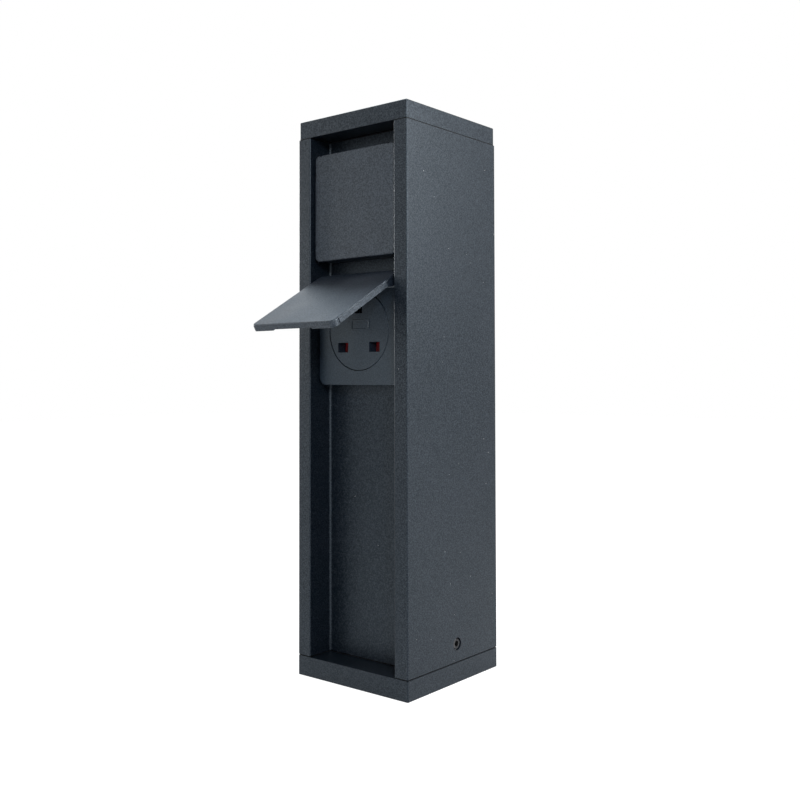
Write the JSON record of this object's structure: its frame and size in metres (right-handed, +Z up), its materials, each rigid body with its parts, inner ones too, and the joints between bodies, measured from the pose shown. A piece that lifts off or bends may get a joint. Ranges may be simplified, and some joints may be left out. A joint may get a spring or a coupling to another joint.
{
  "type": "garden socket post",
  "caption": "Square bollard post for outdoor power: socket modules under hinged flap lids in a front channel, with cap, foot, cable gland and inner wiring.",
  "frame": {"origin": "centre of the ground bolt pattern on the foot's underside", "axes": "+Z up the post, +X to the right along its front, +Y into the post away from the lids"},
  "size_m": [0.077, 0.1197, 0.3],
  "materials": {
    "powder_coat": "fine-textured matte powder coat, anthracite",
    "lid_plastic": "moulded, finely textured, dark grey",
    "face_plastic": "moulded, smooth satin, dark grey",
    "shutter_plastic": "moulded, red",
    "housing_plastic": "moulded, light grey",
    "gland_plastic": "moulded nylon, black",
    "block_plastic": "moulded, ivory",
    "seal_rubber": "soft black rubber",
    "zinc_steel": "bright zinc plate",
    "black_steel": "black oxide",
    "spring_steel": "tempered spring steel",
    "brass": "stamped brass",
    "wire_brown": "brown sleeve",
    "wire_blue": "blue sleeve",
    "wire_green": "green and yellow sleeve"
  },
  "bodies": {
    "post": {"base_foot": "powder_coat", "block_screws": "zinc_steel", "cap_screws": "black_steel", "cap_seal": "seal_rubber", "clamp_screws": "zinc_steel", "earth_screw": "zinc_steel", "earth_tag": "brass", "earth_wires": "wire_green", "foot_lugs": "zinc_steel", "foot_seal": "seal_rubber", "gland_body": "gland_plastic", "gland_dome_nut": "gland_plastic", "gland_locknut": "gland_plastic", "gland_seal": "seal_rubber", "live_wires": "wire_brown", "lower_earth_contact": "brass", "lower_frame_seal": "seal_rubber", "lower_hinge_pins": "zinc_steel", "lower_housing_screws": "zinc_steel", "lower_live_contact": "brass", "lower_module_frame": "face_plastic", "lower_neutral_contact": "brass", "lower_rear_housing": "housing_plastic", "lower_retaining_clips": "spring_steel", "lower_shutter_spring": "spring_steel", "lower_socket_face": "face_plastic", "lower_terminal_screws": "zinc_steel", "neutral_wires": "wire_blue", "post_body": "powder_coat", "set_screws": "black_steel", "terminal_block": "block_plastic", "terminal_inserts": "brass", "top_cap": "powder_coat", "upper_earth_contact": "brass", "upper_frame_seal": "seal_rubber", "upper_hinge_pins": "zinc_steel", "upper_housing_screws": "zinc_steel", "upper_live_contact": "brass", "upper_module_frame": "face_plastic", "upper_neutral_contact": "brass", "upper_rear_housing": "housing_plastic", "upper_retaining_clips": "spring_steel", "upper_shutter_spring": "spring_steel", "upper_socket_face": "face_plastic", "upper_terminal_screws": "zinc_steel"},
    "lower_flap": {"lower_lid": "lid_plastic", "lower_lid_seal": "seal_rubber"},
    "upper_flap": {"upper_lid": "lid_plastic", "upper_lid_seal": "seal_rubber"},
    "lower_shutter_slider": {"lower_shutter": "shutter_plastic"},
    "upper_shutter_slider": {"upper_shutter": "shutter_plastic"}
  },
  "joints": [
    {"name": "lower_lid_hinge", "type": "hinge", "parent": "post", "child": "lower_flap", "pos_m": [0, -0.0322, 0.21055], "axis": [-1, 0, 0], "range_deg": [-60, 40]},
    {"name": "upper_lid_hinge", "type": "hinge", "parent": "post", "child": "upper_flap", "pos_m": [0, -0.0322, 0.27725], "axis": [-1, 0, 0], "range_deg": [0, 100]},
    {"name": "lower_shutter_slide", "type": "slide", "parent": "post", "child": "lower_shutter_slider", "axis": [0, 0, -1], "range_m": [0, 0.0062], "stiffness_N_per_m": 150, "springref_m": -0.003, "deforming": ["lower_shutter_spring"]},
    {"name": "upper_shutter_slide", "type": "slide", "parent": "post", "child": "upper_shutter_slider", "axis": [0, 0, -1], "range_m": [0, 0.0062], "stiffness_N_per_m": 150, "springref_m": -0.003, "deforming": ["upper_shutter_spring"]}
  ]
}
